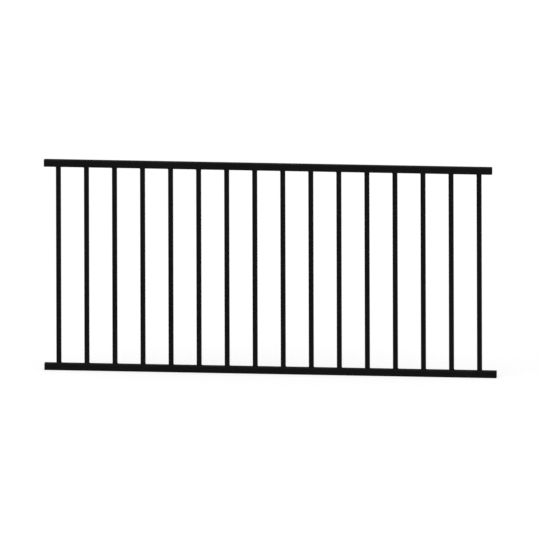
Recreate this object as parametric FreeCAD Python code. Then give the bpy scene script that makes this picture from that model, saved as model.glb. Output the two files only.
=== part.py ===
import FreeCAD, Part
import math
import os

# A welded steel deck railing section: square-tube balusters butted between two
# square-tube rails, with a fillet weld all round each baluster's two ends.
# Millimetres. X runs along the rails, the front faces -Y and Z is up. The origin is
# the centre of the bottom rail's left end, where a post bracket takes hold of it.

INCH = 25.4

# Rails
SECTION_HEIGHT = 34 * INCH  # underside of the bottom rail to the top of the top rail
RAIL_SIZE = 1.125 * INCH
RAIL_WALL = 1.5
RAIL_CORNER_RADIUS = 2.5

# Balusters
BALUSTER_COUNT = 16
BALUSTER_PITCH = 4.5 * INCH
BALUSTER_SIZE = 0.75 * INCH
BALUSTER_WALL = 1.2
BALUSTER_CORNER_RADIUS = 2.0

# Rail ends, from the axis of the outer baluster on that side
TOP_RAIL_LEFT_END = 58.0
TOP_RAIL_RIGHT_END = 52.5
BOTTOM_RAIL_LEFT_END = 58.0
BOTTOM_RAIL_RIGHT_END = 68.5

# Fillet welds between the balusters and the rails
WELD_LEG = 2.2
WELD_TOE = 0.3  # thickness left at the weld's upper edge

SHARPEST_BORE_RADIUS = 0.3  # the least corner radius inside a tube

# Places that follow from the sizes above
baluster_length = SECTION_HEIGHT - 2 * RAIL_SIZE
first_baluster_x = BOTTOM_RAIL_LEFT_END
baluster_axes = [first_baluster_x + number * BALUSTER_PITCH for number in range(BALUSTER_COUNT)]
last_baluster_x = baluster_axes[-1]
bottom_rail_z = 0.0
top_rail_z = bottom_rail_z + SECTION_HEIGHT - RAIL_SIZE
baluster_foot_z = bottom_rail_z + RAIL_SIZE / 2
baluster_head_z = baluster_foot_z + baluster_length


def rounded_square(size, corner_radius):
    """Outline of a square with rounded corners, level with the XY plane and centred on the Z axis."""
    half = size / 2
    flat = half - corner_radius
    arc_middle = flat + corner_radius / math.sqrt(2)
    edges = []
    for quarter in range(4):
        turn = FreeCAD.Rotation(FreeCAD.Vector(0, 0, 1), 90 * quarter)
        side_start = turn.multVec(FreeCAD.Vector(half, -flat, 0))
        side_end = turn.multVec(FreeCAD.Vector(half, flat, 0))
        corner_middle = turn.multVec(FreeCAD.Vector(arc_middle, arc_middle, 0))
        corner_end = turn.multVec(FreeCAD.Vector(flat, half, 0))
        edges.append(Part.makeLine(side_start, side_end))
        edges.append(Part.Arc(side_end, corner_middle, corner_end).toShape())
    return Part.Wire(edges)


def square_tube(size, wall, corner_radius, length):
    """Square tube standing on the XY plane, open at both ends."""
    bore_radius = max(corner_radius - wall, SHARPEST_BORE_RADIUS)
    outline = rounded_square(size, corner_radius)
    bore = rounded_square(size - 2 * wall, bore_radius)
    section = Part.makeFace([outline, bore], "Part::FaceMakerBullseye")
    return section.extrude(FreeCAD.Vector(0, 0, length))


def rail(left_x, right_x, axis_z):
    """Rail tube laid along X between its two ends."""
    tube = square_tube(RAIL_SIZE, RAIL_WALL, RAIL_CORNER_RADIUS, right_x - left_x)
    tube.rotate(FreeCAD.Vector(0, 0, 0), FreeCAD.Vector(0, 1, 0), 90)
    tube.translate(FreeCAD.Vector(left_x, 0, axis_z))
    return tube


def baluster(axis_x):
    """Baluster tube standing on the bottom rail and reaching the underside of the top rail."""
    tube = square_tube(BALUSTER_SIZE, BALUSTER_WALL, BALUSTER_CORNER_RADIUS, baluster_length)
    tube.translate(FreeCAD.Vector(axis_x, 0, baluster_foot_z))
    return tube


def eight_sided(size, corner_radius, height=0.0):
    """Eight-sided outline that just encloses a square with rounded corners."""
    half = size / 2
    side_end = half - (2 - math.sqrt(2)) * corner_radius
    corners = []
    for quarter in range(4):
        turn = FreeCAD.Rotation(FreeCAD.Vector(0, 0, 1), 90 * quarter)
        corners.append(turn.multVec(FreeCAD.Vector(half, -side_end, height)))
        corners.append(turn.multVec(FreeCAD.Vector(half, side_end, height)))
    return Part.makePolygon(corners + corners[:1])


def flat_sided(lower, upper):
    """Solid with flat sides between two level outlines that have as many corners."""
    low = [vertex.Point for vertex in lower.OrderedVertexes]
    high = [vertex.Point for vertex in upper.OrderedVertexes]
    faces = [Part.Face(lower), Part.Face(upper)]
    for corner in range(len(low)):
        side = [low[corner - 1], low[corner], high[corner], high[corner - 1], low[corner - 1]]
        faces.append(Part.Face(Part.makePolygon(side)))
    return Part.makeSolid(Part.makeShell(faces))


def weld_ring():
    """Fillet weld round a baluster's foot: a sloping collar with the baluster's outline taken out."""
    root = eight_sided(BALUSTER_SIZE + 2 * WELD_LEG, BALUSTER_CORNER_RADIUS + WELD_LEG)
    toe = eight_sided(BALUSTER_SIZE + 2 * WELD_TOE, BALUSTER_CORNER_RADIUS + WELD_TOE, WELD_LEG)
    core = Part.Face(eight_sided(BALUSTER_SIZE, BALUSTER_CORNER_RADIUS))
    return flat_sided(root, toe).cut(core.extrude(FreeCAD.Vector(0, 0, WELD_LEG)))


def weld_row(rail_face_z, upside_down):
    """The welds along one rail, each a solid of its own, on the rail's inner face."""
    rings = []
    for axis_x in baluster_axes:
        ring = weld_ring()
        if upside_down:
            ring.rotate(FreeCAD.Vector(0, 0, 0), FreeCAD.Vector(1, 0, 0), 180)
        ring.translate(FreeCAD.Vector(axis_x, 0, rail_face_z))
        rings.extend(ring.Solids)
    return Part.makeCompound(rings)


nodes = {}
nodes["top_rail"] = rail(
    first_baluster_x - TOP_RAIL_LEFT_END,
    last_baluster_x + TOP_RAIL_RIGHT_END,
    top_rail_z,
)
nodes["bottom_rail"] = rail(
    first_baluster_x - BOTTOM_RAIL_LEFT_END,
    last_baluster_x + BOTTOM_RAIL_RIGHT_END,
    bottom_rail_z,
)
for number, axis_x in enumerate(baluster_axes, start=1):
    nodes[f"baluster_{number:02d}"] = baluster(axis_x)
nodes["top_rail_welds"] = weld_row(baluster_head_z, upside_down=True)
nodes["bottom_rail_welds"] = weld_row(baluster_foot_z, upside_down=False)

os.makedirs("parts", exist_ok=True)
for name, shape in nodes.items():
    shape.exportStep(f"parts/{name}.step")
    print(f"{name}: {len(shape.Solids)} solids, {shape.Volume / 1000:.2f} cm3, valid {shape.isValid()}")
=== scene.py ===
import functools
import math
import random

import bpy
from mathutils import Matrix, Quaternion, Vector


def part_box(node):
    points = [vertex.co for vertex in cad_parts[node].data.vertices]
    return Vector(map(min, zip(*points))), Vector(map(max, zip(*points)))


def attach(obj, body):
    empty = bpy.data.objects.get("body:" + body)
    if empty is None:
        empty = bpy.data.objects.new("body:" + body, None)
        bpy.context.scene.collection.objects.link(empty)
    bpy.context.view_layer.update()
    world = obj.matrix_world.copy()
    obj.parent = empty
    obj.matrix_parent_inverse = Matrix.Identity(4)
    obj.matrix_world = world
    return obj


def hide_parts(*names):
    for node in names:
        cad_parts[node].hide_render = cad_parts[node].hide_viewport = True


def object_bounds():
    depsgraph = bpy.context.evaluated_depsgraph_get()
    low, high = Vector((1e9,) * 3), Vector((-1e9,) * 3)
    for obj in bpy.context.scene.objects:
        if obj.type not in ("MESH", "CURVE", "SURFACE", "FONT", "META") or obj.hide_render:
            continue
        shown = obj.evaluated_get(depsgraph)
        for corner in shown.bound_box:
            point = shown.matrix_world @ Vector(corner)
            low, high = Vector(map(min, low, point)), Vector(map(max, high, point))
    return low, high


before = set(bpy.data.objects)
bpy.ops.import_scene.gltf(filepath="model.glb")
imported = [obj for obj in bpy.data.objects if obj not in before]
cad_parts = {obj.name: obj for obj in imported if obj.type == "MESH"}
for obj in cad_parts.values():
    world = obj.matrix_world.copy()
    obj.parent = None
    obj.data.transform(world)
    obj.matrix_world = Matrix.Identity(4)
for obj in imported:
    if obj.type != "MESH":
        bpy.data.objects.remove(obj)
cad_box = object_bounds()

# Metres throughout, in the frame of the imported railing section: X along the rails,
# the front towards -Y and Z up. Angles are degrees until they are used.

MM = 0.001
TURN = 2 * math.pi
RAILS = ("top_rail", "bottom_rail")
BALUSTERS = sorted(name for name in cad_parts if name.startswith("baluster_"))

# The photograph's view: parallel lines stay parallel in it
PHOTO_SIZE_PX = 540
PHOTO_PITCH_PX = 28.041  # from one baluster to the next
PHOTO_CENTRE_PX = (269.0, 268.5)  # where the middle of the section lies
VIEW_AZIMUTH = 7.0
VIEW_ELEVATION = 10.0
VIEW_ROLL = -0.17
CAMERA_DISTANCE = 6.0

# Tubes: sizes that their boxes don't show
RAIL_WALL = 1.5 * MM
RAIL_CORNER_RADIUS = 2.5 * MM
BALUSTER_CORNER_RADIUS = 2.0 * MM

# Weld beads
RING_LOW, RING_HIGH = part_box("bottom_rail_welds")
BEAD_LEG = RING_HIGH.z - RING_LOW.z  # as high as the plain rings that the beads stand for
BEAD_SINK = 0.05 * MM  # how far a bead's edges lie in the tubes
BEAD_ROOT = 0.5 * MM  # how far its hidden corner lies in both walls
BEAD_FULLNESS = 1.55  # 2 is a flat fillet, 1 a quarter circle
BEAD_STEPS = 320  # round the baluster
BEAD_SECTION_STEPS = 7  # from the rail up to the baluster
RIPPLE_LENGTH = 1.6 * MM
RIPPLE_DEPTH = 0.11  # share of the leg
RIPPLE_LEAN = 0.45  # how much steeper a ripple's leading side is
RIPPLE_BOW = 1.5  # how far each ripple bends back at its edges, in radians of its own wave
WANDER = 0.07  # slow change of the leg, share of the leg
WANDER_WAVES = (1, 2, 3, 5)  # waves of that change in one turn
WANDER_WEIGHTS = (0.3, 1.0)  # least and greatest part that one of these waves has in it
STOP_LENGTH = 2.6 * MM  # the thicker spot where a bead ends over its own start
STOP_SWELL = 0.28  # share of the leg
BEAD_SEED = 7

# Powder coat
COAT_TONE = (0.0041, 0.0060)  # linear grey at the darkest and the lightest of its slow change
COAT_ROUGHNESS = (0.74, 0.92)  # in the hollows and on the tops of the grain
COAT_SPECULAR = 0.04
GRAIN_SCALE = 1500.0  # per metre, the coat's fine sandy texture
GRAIN_DETAIL = 3.0
GRAIN_HEIGHT = 0.16 * MM
GRAIN_TONE = (0.50, 1.60)  # factor on the coat's tone in the hollows and on the tops of the grain
PEEL_SCALE = 260.0  # per metre, the slower waviness of a cured coat
PEEL_DETAIL = 1.0
PEEL_HEIGHT = 0.04 * MM
CLOUD_SCALE = 5.0  # per metre, the slow change of tone along a tube
CLOUD_DETAIL = 4.0
CLOUD_ROUGHNESS = 0.6
NOISE_ROUGHNESS = 0.5
NOISE_SPAN = (0.3, 0.7)  # where most values of a noise lie
CORNER_COAT_AND_HIGHLIGHT_TONE = 0.0045  # added on a tube's corners: thinner coat there, and a painted highlight where the corners catch light
EDGE_MARGIN = 0.8 * MM  # how far onto the flat sides that reaches
PRIMER_TONE = 0.035  # added for the thin grey primer inside a rail, past the coat's reach
COAT_REACH = (25 * MM, 90 * MM)  # depth in a rail at which the coat begins to thin, and at which it ends

# Stage
FLOOR_SIZE = 80.0
FLOOR_COLOUR = (0.92, 0.92, 0.92, 1.0)
SHADOW_SHARE = 0.40  # how much of the floor's own light and shade shows on the white
WHITE = (1.0, 1.0, 1.0, 1.0)
WHITE_STRENGTH = 1.0
WORLD_LIGHT = 0.70
KEY_FROM = (-0.5, -0.7, 1.2)  # the side that a light comes from
KEY_SOFTNESS = 50.0  # angle that a light spans, seen from the section
KEY_STRENGTH = 1.25
FILL_FROM = (0.9, -0.5, 0.9)
FILL_SOFTNESS = 60.0
FILL_STRENGTH = 0.60


class NodeTree:
    """The shader nodes of a new material or world, emptied first and then filled node by node."""

    def __init__(self, owner):
        owner.use_nodes = True
        self.nodes = owner.node_tree.nodes
        self.links = owner.node_tree.links
        self.nodes.clear()

    def add(self, kind, inputs=None, **settings):
        """A new node. Each input, by name or number, is linked if it is a socket and set if a value."""
        node = self.nodes.new(kind)
        for setting, value in settings.items():
            setattr(node, setting, value)
        for key, value in (inputs or {}).items():
            if isinstance(value, bpy.types.NodeSocket):
                self.links.new(value, node.inputs[key])
            else:
                node.inputs[key].default_value = value
        return node

    def maths(self, operation, *operands):
        """The result of one operation on sockets and numbers."""
        return self.add("ShaderNodeMath", dict(enumerate(operands)), operation=operation).outputs["Value"]

    def noise(self, place, scale, detail, roughness=NOISE_ROUGHNESS):
        """A noise at a place in the section's own frame."""
        inputs = {"Vector": place, "Scale": scale, "Detail": detail, "Roughness": roughness}
        return self.add("ShaderNodeTexNoise", inputs).outputs["Fac"]

    def between(self, source, low, high, span=NOISE_SPAN):
        """The source taken from its span to low..high, and held there beyond the span."""
        start, end = span
        inputs = {"Value": source, "From Min": start, "From Max": end, "To Min": low, "To Max": high}
        return self.add("ShaderNodeMapRange", inputs).outputs["Result"]

    def bump(self, height, depth, below=None):
        """A bump of the given depth, on top of an earlier one if there is one."""
        inputs = {"Distance": depth, "Height": height}
        if below is not None:
            inputs["Normal"] = below
        return self.add("ShaderNodeBump", inputs).outputs["Normal"]

    def mixed(self, share, first, second):
        """Two shaders mixed by the share of the second."""
        return self.add("ShaderNodeMixShader", {0: share, 1: first, 2: second}).outputs["Shader"]

    def seen_directly(self):
        """1 for camera, glossy and transmission rays, which see the white surround, and 0 for the rest."""
        ray = self.add("ShaderNodeLightPath").outputs
        camera_or_glossy = self.maths("MAXIMUM", ray["Is Camera Ray"], ray["Is Glossy Ray"])
        return self.maths("MAXIMUM", camera_or_glossy, ray["Is Transmission Ray"])


def middle_and_half(node_name):
    """The middle of a node's box, and half its size each way."""
    low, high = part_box(node_name)
    return (low + high) / 2, (high - low) / 2


def baluster_pitch():
    """Distance from one baluster to the next."""
    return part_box(BALUSTERS[1])[0].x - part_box(BALUSTERS[0])[0].x


def offset_along(tree, place, letter, middle, pitch=None):
    """Distance along X, Y or Z from a middle, or from the nearest of many middles at a pitch."""
    split = tree.add("ShaderNodeSeparateXYZ", {"Vector": place})
    offset = tree.maths("SUBTRACT", split.outputs[letter], middle)
    if pitch is not None:
        offset = tree.maths("WRAP", offset, pitch / 2, -pitch / 2)
    return tree.maths("ABSOLUTE", offset)


def thin_coat_and_highlight(tree, offset, other_offset, half, radius):
    """What thin coat and a painted highlight add to the tone on a square tube's rounded corners, fading
    onto its flat sides.
    """
    nearer = tree.maths("MINIMUM", offset, other_offset)
    start = half - radius - EDGE_MARGIN
    corner = tree.between(nearer, 0.0, 1.0, (start, start + radius))
    return tree.maths("MULTIPLY", corner, CORNER_COAT_AND_HIGHLIGHT_TONE)


def baluster_tone(tree, place):
    """What a baluster adds to the coat's tone: thin coat and a painted highlight on its corners."""
    middle, half = middle_and_half(BALUSTERS[0])
    x_offset = offset_along(tree, place, "X", middle.x, baluster_pitch())
    y_offset = offset_along(tree, place, "Y", middle.y)
    return thin_coat_and_highlight(tree, x_offset, y_offset, half.y, BALUSTER_CORNER_RADIUS)


def rail_tone(rail, tree, place):
    """What a rail adds to the coat's tone: thin coat and a painted highlight on its corners, and grey
    primer deep in its bore.
    """
    middle, half = middle_and_half(rail)
    x_offset = offset_along(tree, place, "X", middle.x)
    y_offset = offset_along(tree, place, "Y", middle.y)
    z_offset = offset_along(tree, place, "Z", middle.z)
    from_axis = tree.maths("MAXIMUM", y_offset, z_offset)
    in_bore = tree.maths("LESS_THAN", from_axis, half.z - RAIL_WALL / 2)
    from_end = tree.maths("SUBTRACT", half.x, x_offset)
    primer = tree.maths("MULTIPLY", in_bore, tree.between(from_end, 0.0, 1.0, COAT_REACH))
    # The lighter corners are partly thin coat and partly a painted highlight.
    thin_and_highlight = thin_coat_and_highlight(tree, y_offset, z_offset, half.y, RAIL_CORNER_RADIUS)
    return tree.maths("MULTIPLY_ADD", primer, PRIMER_TONE, thin_and_highlight)


def powder_coat(name, added_tone=None):
    """Dull black powder coat with a fine sandy grain, and what one kind of tube adds to its tone."""
    material = bpy.data.materials.new(name)
    tree = NodeTree(material)
    place = tree.add("ShaderNodeTexCoord").outputs["Object"]
    grain = tree.noise(place, GRAIN_SCALE, GRAIN_DETAIL)
    peel = tree.noise(place, PEEL_SCALE, PEEL_DETAIL)
    cloud = tree.noise(place, CLOUD_SCALE, CLOUD_DETAIL, CLOUD_ROUGHNESS)

    tone = tree.between(cloud, *COAT_TONE)
    if added_tone is not None:
        tone = tree.maths("ADD", tone, added_tone(tree, place))
    tone = tree.maths("MULTIPLY", tone, tree.between(grain, *GRAIN_TONE))
    colour = tree.add("ShaderNodeCombineColor", {"Red": tone, "Green": tone, "Blue": tone})
    waves = tree.bump(peel, PEEL_HEIGHT)
    surface = {
        "Base Color": colour.outputs["Color"],
        "Roughness": tree.between(grain, *COAT_ROUGHNESS),
        "Specular IOR Level": COAT_SPECULAR,
        "Normal": tree.bump(grain, GRAIN_HEIGHT, waves),
    }
    shader = tree.add("ShaderNodeBsdfPrincipled", surface)
    tree.add("ShaderNodeOutputMaterial", {"Surface": shader.outputs["BSDF"]})
    return material


def dress(piece, material):
    """Gives a piece one material in all its slots."""
    if not piece.data.materials:
        piece.data.materials.append(material)
    for slot in piece.material_slots:
        slot.material = material


def rotated(vector, angle):
    """A plane vector turned by an angle in radians."""
    cosine, sine = math.cos(angle), math.sin(angle)
    return Vector((cosine * vector.x - sine * vector.y, sine * vector.x + cosine * vector.y))


def quarter_length(size, radius):
    """Length of one side and one corner of a square with rounded corners."""
    return size - 2 * radius + radius * TURN / 4


def round_square(size, radius, steps):
    """Equal steps round a square with rounded corners: share of the way, point and outward direction."""
    flat = size / 2 - radius
    side = 2 * flat
    quarter = quarter_length(size, radius)
    for step in range(steps):
        corner, rest = divmod(4 * quarter * step / steps, quarter)
        if rest < side:
            outward = Vector((1.0, 0.0))
            point = Vector((size / 2, rest - flat))
        else:
            angle = (rest - side) / radius
            outward = Vector((math.cos(angle), math.sin(angle)))
            point = Vector((flat, flat)) + outward * radius
        turned = corner * TURN / 4
        yield step / steps, rotated(point, turned), rotated(outward, turned)


def bead_section(point, outward, leg_share, ripple_phase):
    """One cross-section of a bead as (x, y, height), from the rail to the baluster and back to the root."""
    section = []
    for step in range(BEAD_SECTION_STEPS + 1):
        rise = TURN / 4 * step / BEAD_SECTION_STEPS
        phase = ripple_phase + RIPPLE_BOW * math.cos(2 * rise) ** 2
        ripple = math.sin(phase + RIPPLE_LEAN * math.sin(phase)) * math.sin(2 * rise)
        leg = BEAD_LEG * (leg_share + RIPPLE_DEPTH * ripple)
        out = leg * math.cos(rise) ** BEAD_FULLNESS
        up = leg * math.sin(rise) ** BEAD_FULLNESS
        if step == 0:
            up = -BEAD_SINK
        if step == BEAD_SECTION_STEPS:
            out = -BEAD_SINK
        place = point + outward * out
        section.append((place.x, place.y, up))
    root = point - outward * BEAD_ROOT
    section.append((root.x, root.y, -BEAD_ROOT))
    return section


def bead_sections(size, dice):
    """Cross-sections of one weld bead, one after another round a baluster."""
    waves = [(count, dice.uniform(0, TURN), dice.uniform(*WANDER_WEIGHTS)) for count in WANDER_WAVES]
    total = sum(weight for _, _, weight in waves)
    first_phase = dice.uniform(0, TURN)
    stop = dice.uniform(0, 1)
    length = 4 * quarter_length(size, BALUSTER_CORNER_RADIUS)
    ripples = round(length / RIPPLE_LENGTH)
    for share, point, outward in round_square(size, BALUSTER_CORNER_RADIUS, BEAD_STEPS):
        turned = TURN * share
        wander = sum(weight * math.sin(count * turned + phase) for count, phase, weight in waves) / total
        from_stop = math.remainder(share - stop, 1) * length
        swell = math.exp(-((from_stop / STOP_LENGTH) ** 2))
        leg_share = 1 + WANDER * wander + STOP_SWELL * swell
        yield bead_section(point, outward, leg_share, ripples * turned + first_phase)


def weld_beads(rail, face_z, upward):
    """The rippled beads along one rail, as one mesh that stands for the rail's plain weld rings."""
    name = f"{rail}_weld_beads"
    dice = random.Random(f"{BEAD_SEED} {name}")
    ring = BEAD_SECTION_STEPS + 2
    vertices = []
    faces = []
    for baluster in BALUSTERS:
        middle, half = middle_and_half(baluster)
        first = len(vertices)
        for section in bead_sections(2 * half.x, dice):
            vertices += [(middle.x + x, middle.y + y, face_z + upward * up) for x, y, up in section]
        for step in range(BEAD_STEPS):
            here = first + step * ring
            beyond = first + (step + 1) % BEAD_STEPS * ring
            for corner in range(ring):
                following = (corner + 1) % ring
                face = (here + corner, beyond + corner, beyond + following, here + following)
                faces.append(face if upward > 0 else face[::-1])
    mesh = bpy.data.meshes.new(name)
    mesh.from_pydata(vertices, [], faces)
    mesh.shade_smooth()
    piece = bpy.data.objects.new(name, mesh)
    bpy.context.scene.collection.objects.link(piece)
    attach(piece, "root")
    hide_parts(f"{rail}_welds")
    return piece


def white_floor():
    """White floor that keeps the section's shadow in a share of its light, and is clear from below."""
    material = bpy.data.materials.new("stage_white")
    tree = NodeTree(material)
    lit = tree.add("ShaderNodeBsdfDiffuse", {"Color": FLOOR_COLOUR}).outputs["BSDF"]
    white = tree.add("ShaderNodeEmission", {"Color": WHITE, "Strength": WHITE_STRENGTH}).outputs["Emission"]
    clear = tree.add("ShaderNodeBsdfTransparent").outputs["BSDF"]
    white_share = tree.maths("MULTIPLY", tree.seen_directly(), 1.0 - SHADOW_SHARE)
    from_above = tree.mixed(white_share, lit, white)
    below = tree.add("ShaderNodeNewGeometry").outputs["Backfacing"]
    tree.add("ShaderNodeOutputMaterial", {"Surface": tree.mixed(below, from_above, clear)})
    return material


def add_floor():
    """The floor, at the underside of the bottom rail."""
    half = FLOOR_SIZE / 2
    middle = (cad_box[0] + cad_box[1]) / 2
    corners = [(-half, -half), (half, -half), (half, half), (-half, half)]
    mesh = bpy.data.meshes.new("stage_floor")
    mesh.from_pydata([(middle.x + x, middle.y + y, cad_box[0].z) for x, y in corners], [], [(0, 1, 2, 3)])
    floor = bpy.data.objects.new("stage_floor", mesh)
    bpy.context.scene.collection.objects.link(floor)
    dress(floor, white_floor())


def add_world():
    """White surround for what is seen directly, softer even light for the rest."""
    world = bpy.data.worlds.new("studio")
    tree = NodeTree(world)
    strength = tree.between(tree.seen_directly(), WORLD_LIGHT, WHITE_STRENGTH, (0.0, 1.0))
    background = tree.add("ShaderNodeBackground", {"Color": WHITE, "Strength": strength})
    tree.add("ShaderNodeOutputWorld", {"Surface": background.outputs["Background"]})
    bpy.context.scene.world = world


def add_sun(name, comes_from, softness, strength):
    """A broad, soft light from one side, even over the whole floor."""
    data = bpy.data.lights.new(name, "SUN")
    data.angle = math.radians(softness)
    data.energy = strength
    lamp = bpy.data.objects.new(name, data)
    bpy.context.scene.collection.objects.link(lamp)
    lamp.rotation_mode = "QUATERNION"
    lamp.rotation_quaternion = (-Vector(comes_from)).to_track_quat("-Z", "Y")


def view_back():
    """Direction from the section back to the camera."""
    azimuth = math.radians(VIEW_AZIMUTH)
    elevation = math.radians(VIEW_ELEVATION)
    level = math.cos(elevation)
    return Vector((math.sin(azimuth) * level, -math.cos(azimuth) * level, math.sin(elevation)))


def section_middle():
    """Midway between the outer balusters, and between the section's underside and its top."""
    first_low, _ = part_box(BALUSTERS[0])
    _, last_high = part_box(BALUSTERS[-1])
    return Vector(((first_low.x + last_high.x) / 2, 0.0, (cad_box[0].z + cad_box[1].z) / 2))


def add_camera():
    """The photograph's parallel view, placed so that the section's middle falls on its pixel."""
    pixel = baluster_pitch() * math.cos(math.radians(VIEW_AZIMUTH)) / PHOTO_PITCH_PX
    back = view_back()
    facing = (-back).to_track_quat("-Z", "Y") @ Quaternion((0, 0, 1), math.radians(VIEW_ROLL))
    right = facing @ Vector((1, 0, 0))
    up = facing @ Vector((0, 1, 0))
    across = PHOTO_SIZE_PX / 2 - PHOTO_CENTRE_PX[0]
    down = PHOTO_SIZE_PX / 2 - PHOTO_CENTRE_PX[1]
    aim = section_middle() + (right * across - up * down) * pixel

    data = bpy.data.cameras.new("camera")
    data.type = "ORTHO"
    data.ortho_scale = PHOTO_SIZE_PX * pixel
    camera = bpy.data.objects.new("camera", data)
    bpy.context.scene.collection.objects.link(camera)
    camera.rotation_mode = "QUATERNION"
    camera.rotation_quaternion = facing
    camera.location = aim + back * CAMERA_DISTANCE
    bpy.context.scene.camera = camera


baluster_coat = powder_coat("baluster_coat", baluster_tone)
for node_name in BALUSTERS:
    dress(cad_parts[node_name], baluster_coat)
for node_name in RAILS:
    rail_coat = powder_coat(f"{node_name}_coat", functools.partial(rail_tone, node_name))
    dress(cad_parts[node_name], rail_coat)

weld_coat = powder_coat("weld_coat")
dress(weld_beads("top_rail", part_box("top_rail")[0].z, upward=-1), weld_coat)
dress(weld_beads("bottom_rail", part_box("bottom_rail")[1].z, upward=1), weld_coat)

add_floor()
add_world()
add_sun("key", KEY_FROM, KEY_SOFTNESS, KEY_STRENGTH)
add_sun("fill", FILL_FROM, FILL_SOFTNESS, FILL_STRENGTH)
add_camera()
bpy.context.scene.view_settings.view_transform = "Standard"
